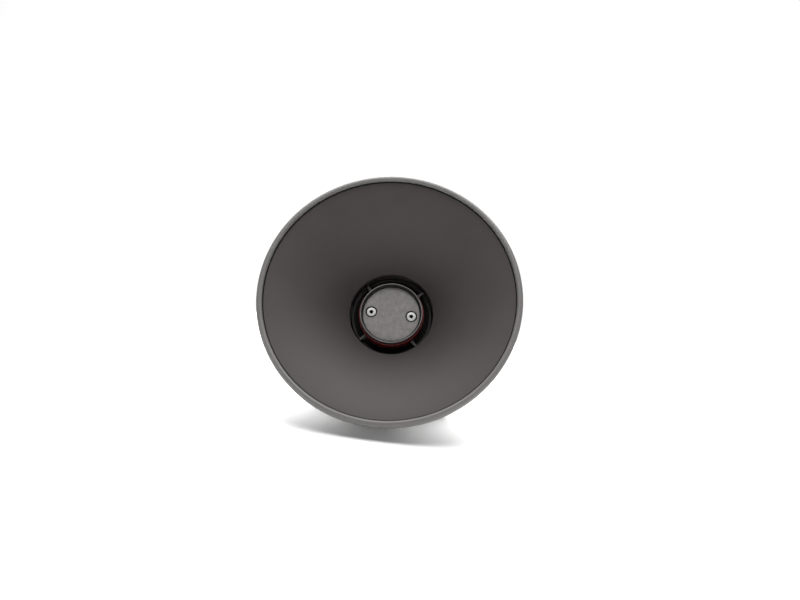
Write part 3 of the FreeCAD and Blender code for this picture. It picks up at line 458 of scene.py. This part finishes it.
# ---------------------------------------------------------------- bell and trim
def bell():
    """Flared skin with a lip at the mouth and a neck at the back, and the bolted flange round the neck."""
    neck, neck_bore, flange_back, flange_front = 39.5, 36.6, BELL.low, BELL.low + FLANGE
    throat, throat_chamfer, neck_start = (BELL.inner, BELL.edge), 1.7, 2.4
    fillet, fillet_out, fillet_up = 0.8, 0.2, 0.25
    screw_hole, grid = 2.75, 3.0
    inner = [(neck_bore, BELL.edge - throat_chamfer), throat]
    inner += arc(throat, (TRIM.inner, LIP), FLARE, -1, FLARE_STEPS)
    back = [(TRIM.inner + LIP_INSET, LIP - WALL)]
    back += arc(back[0], (neck, BELL.edge + neck_start), FLARE - WALL, 1, FLARE_STEPS)
    edge = [(BELL.outer, LIP), (BELL.outer, LIP - WALL)]
    root = [(neck, flange_front + fillet), (neck + fillet_out, flange_front + fillet_up),
            (neck + fillet, flange_front)]
    rim = BELL_FLANGE - FLANGE_CHAMFER
    places = circle_of(4, BELL_SCREWS)
    holes = [(*place, screw_hole, HOLE_ROUND) for place in places]
    work = bmesh.new()
    turn(work, [(neck_bore, flange_back)] + inner + edge + back + root)
    turn(work, [(rim, flange_front), (BELL_FLANGE, flange_front - FLANGE_CHAMFER),
                (BELL_FLANGE, flange_back + FLANGE_CHAMFER), (rim, flange_back)])
    for level, bore in ((flange_front, neck + fillet), (flange_back, neck_bore)):
        plate(work, level, rim, [(0, 0, bore, ROUND)] + holes, grid)
    for place in places:
        turn(work, [(screw_hole, flange_back), (screw_hole, flange_front)], HOLE_ROUND, centre=place)
    finish_piece("horn_bell_skin", work, "horn_bell")


def rim_trim():
    """Moulded edge trim that grips the bell's lip, with a rounded crown and a fine parting line."""
    crown, inner, outer = TRIM.high, TRIM.inner, TRIM.outer
    wall, tongue, tongue_front, tongue_edge = 1.4, 0.9, 0.9, 0.6
    skirt, skirt_inset = LIP - 4.7, 1.7
    outer_round, inner_round = 2.8, 1.8
    seam, seam_depth, seam_half = LIP - 0.8, 0.12, 0.1
    groove_in, groove_out, groove_back = inner + tongue, outer - wall, LIP - WALL
    profile = [(inner, LIP + tongue_front), (groove_in, LIP + tongue_edge), (groove_in, LIP),
               (groove_out, LIP), (groove_out, groove_back), (groove_in, groove_back),
               (inner + skirt_inset, skirt), (groove_out, skirt)]
    profile += arc(profile[-1], (outer, skirt + wall), wall, 1, steps=8)
    profile += [(outer, seam - seam_half), (outer - seam_depth, seam), (outer, seam + seam_half),
                (outer, crown - outer_round)]
    profile += arc(profile[-1], (outer - outer_round, crown), outer_round, 1, steps=14)
    profile += arc(profile[-1], (inner, crown - inner_round), inner_round, 1, steps=12)
    work = bmesh.new()
    turn(work, profile, RIM_ROUND, closed=True)
    finish_piece("rim_trim_skin", work, "rim_trim", sharp=50)
    # Black ring in the corner where the trim's inner wall meets the bell: painted shade of the step inside the
    # lip.
    shade_depth, shade_lip, shade_proud, shade_inset = 0.95, 1.0, 0.1, 0.15
    work = bmesh.new()
    turn(work, [(inner - shade_depth, LIP - shade_lip), (inner + shade_proud, LIP - shade_proud),
                (inner + shade_proud, LIP + tongue_front), (inner - shade_inset, LIP + tongue_front)],
         RIM_ROUND, closed=True)
    finish_piece("rim_shade_skin", work, "rim_trim", finish=PAINTED_SHADE)


# ---------------------------------------------------------------- centre cup
def centre_cup():
    """Cup with a softened back edge, and a thin light rim set into its front edge; the rim's light grey is partly
    a worn edge and partly a painted highlight along that edge.
    """
    cup = Reach("centre_cup")
    inner_chamfer, round_in, round_mid = 0.2, 0.5, 0.15
    rim_width, rim_height, rim_step = 0.7, 0.8, 0.1
    shoulder_in, shoulder_down, bevel_in, bevel_down = 0.85, 0.1, 1.0, 0.3
    work = bmesh.new()
    turn(work, [(cup.inner, cup.low + inner_chamfer), (cup.inner + inner_chamfer, cup.low),
                (cup.outer - round_in, cup.low), (cup.outer - round_mid, cup.low + round_mid),
                (cup.outer, cup.low + round_in), (cup.outer, cup.high - rim_height),
                (cup.outer - rim_width, cup.high - rim_height), (cup.outer - rim_width, cup.high - rim_step),
                (cup.outer - shoulder_in, cup.high - shoulder_down),
                (cup.outer - bevel_in, cup.high - bevel_down),
                (CAP.outer + CAP_GAP, CAP.high), (CAP.outer + CAP_GAP, CAP_BACK), (cup.inner, CAP_BACK)],
         closed=True)
    finish_piece("centre_cup_skin", work, "centre_cup")
    crown = [(0, 0.45), (0.06, 0.2), (0.2, 0.06), (0.35, 0), (0.58, 0)]
    work = bmesh.new()
    turn(work, [(cup.outer - rim_width, cup.high - rim_height), (cup.outer, cup.high - rim_height)]
         + [(cup.outer - inset, cup.high - drop) for inset, drop in crown]
         + [(cup.outer - rim_width, cup.high - rim_step)], closed=True)
    finish_piece("cup_rim_skin", work, "centre_cup", sharp=50, finish=RIM_WEAR_AND_HIGHLIGHT)


def cup_sleeve():
    """Red sleeve with fine grooves round it and a rounded front edge."""
    sleeve = Reach("cup_sleeve")
    chamfer, edge_round = 0.3, 0.5
    groove, pitch, first, last = 0.15, 1.6, 1.2, 1.4
    profile = [(sleeve.inner, sleeve.low), (sleeve.outer - chamfer, sleeve.low),
               (sleeve.outer, sleeve.low + chamfer)]
    level = sleeve.low + first
    while level < sleeve.high - last:
        profile += [(sleeve.outer, level), (sleeve.outer - groove, level + groove),
                    (sleeve.outer, level + 2 * groove)]
        level += pitch
    profile += [(sleeve.outer, sleeve.high - edge_round)]
    profile += arc(profile[-1], (sleeve.outer - edge_round, sleeve.high), edge_round, 1, steps=5)
    profile += [(sleeve.inner, sleeve.high)]
    work = bmesh.new()
    turn(work, profile, closed=True)
    finish_piece("cup_sleeve_skin", work, "cup_sleeve")


def face_cap():
    """Cast disc with a pebbled face and two screw recesses, each with a boss behind it."""
    boss, bore, recess, seat = 5.6, 2.3, 4.9, CAP_BACK - 0.1
    edge = [(0.25, 0.12), (0.07, 0.2), (0, 0.4)]
    rim, grid, relief, back_grid = edge[0][0], 0.5, 0.11, 2.5
    face = CAP.high - edge[0][1]
    screws = [(FACE_SCREWS * side, 0) for side in (-1, 1)]
    work = bmesh.new()
    holes = [(*screw, recess + rim, RECESS_ROUND) for screw in screws]
    plate(work, face, CAP.outer - rim, holes, grid, relief)
    turn(work, [(CAP.outer - inset, CAP.high - drop) for inset, drop in edge] + [(CAP.outer, CAP_BACK)])
    plate(work, CAP_BACK, CAP.outer, [(*screw, boss, RECESS_ROUND) for screw in screws], back_grid)
    for screw in screws:
        turn(work, [(recess + inset, CAP.high - drop) for inset, drop in edge]
             + [(recess, seat), (bore, seat), (bore, CAP.low), (boss, CAP.low), (boss, CAP_BACK)],
             RECESS_ROUND, centre=screw)
    finish_piece("face_cap_skin", work, "face_cap")


# ---------------------------------------------------------------- screws
def socket_screws(node, offset, count, seat, way, screw, finish=None):
    """Socket screws with a knurled side, a rounded top edge and a chamfered hexagon."""
    ridges, ridge_depth, point = 36, 0.06, 0.4
    edge, crown, crown_start = 0.15, 0.45, 0.55
    mouth, chamfer, socket_depth, drill, drill_depth = 0.3, 0.2, 1.4, 0.42, 0.4
    radius, hexagon = screw.radius, hexagonal(screw.socket)

    def knurled(angle):
        """Radius of the knurled side by angle."""
        return radius - ridge_depth * (1 - math.cos(angle * ridges))

    top = seat + screw.height * way
    tip = seat - screw.length * way
    floor = top - screw.socket * socket_depth * way
    profile = [(0, tip), (screw.shank - point, tip), (screw.shank, tip + point * way), (screw.shank, seat),
               (radius - edge, seat), (knurled, seat + edge * way), (knurled, top - crown_start * way),
               (radius, top - crown * way), (radius - edge, top - edge * way), (radius - crown, top),
               (screw.socket / 2 + mouth, top), (hexagon, top - chamfer * way), (hexagon, floor),
               (screw.socket * drill, floor), (0, floor - drill_depth * way)]
    work = bmesh.new()
    for place in circle_of(count, offset):
        turn(work, profile, SCREW_ROUND, centre=place)
    finish_piece(node + "_skin", work, node, sharp=30, finish=finish)


def screw_shadows():
    """Black rings round the face screws' heads and black liners in their sockets: painted shade of the recesses
    round the heads and of the sockets.
    """
    top = Reach("face_screws").high
    bottom, wall, below_mouth = top - 4.1, 0.15, 0.3
    liner, inside = hexagonal(FACE_SCREW.socket - 0.05), hexagonal(FACE_SCREW.socket - 0.2)
    shade_ring_in, shade_ring_out, shade_ring_top = FACE_SCREW.radius + 0.06, 4.85, top - 0.5
    work = bmesh.new()
    for place in circle_of(2, FACE_SCREWS):
        turn(work, [(0, bottom - wall), (liner, bottom - wall), (liner, top - below_mouth),
                    (inside, top - below_mouth), (inside, bottom), (0, bottom)], RECESS_ROUND, centre=place)
        turn(work, [(shade_ring_in, CAP_BACK), (shade_ring_out, CAP_BACK), (shade_ring_out, shade_ring_top),
                    (shade_ring_in, shade_ring_top)], RECESS_ROUND, closed=True, centre=place)
    finish_piece("face_screw_painted_shade", work, "face_screws", sharp=30, finish=PAINTED_SHADE)


bell()
rim_trim()
centre_cup()
cup_sleeve()
face_cap()
FACE_SEAT = Reach("face_screws").high - FACE_SCREW.height
COVER_SEAT = Reach("rear_cover").low + COVER_SEAT_DEPTH
socket_screws("face_screws", FACE_SCREWS, 2, FACE_SEAT, 1, FACE_SCREW, SCREW_ZINC)
screw_shadows()
socket_screws("bell_screws", BELL_SCREWS, 4, BELL.low + FLANGE, 1, BELL_SCREW)
socket_screws("cover_screws", COVER_SCREWS, 6, COVER_SEAT, -1, COVER_SCREW)

# ---------------------------------------------------------------- softened and plain CAD nodes
# Width of the rounding on each softened node, in millimetres
ROUNDED = {"driver_housing": 0.5, "rear_cover": 0.5, "throat_spider": 0.2, "u_bracket": 0.4,
           "pivot_bolts": 0.3, "pivot_washers": 0.2, "serrated_discs": 0.1, "gland_body": 0.25,
           "gland_nut": 0.25, "blanking_plug": 0.25, "selector_knob": 0.08, "earth_screw": 0.15,
           "earth_washer": 0.15}
BODIES = frame["record"]["behaviour"]["bodies"]
BODY_OF = {node: name for name, members in BODIES.items() for node in members}
for name, width in ROUNDED.items():
    rounded = soften(name, width)
    if name == "serrated_discs":
        keep_off_the_arms(rounded)
    finish_piece(name + "_skin", rounded, name, BODY_OF[name], sharp=25, matrix=Matrix())

for name, node in nodes.items():
    if not node.hide_render:
        node.data.materials.clear()
        node.data.materials.append(FINISH[SLOTS[name]])
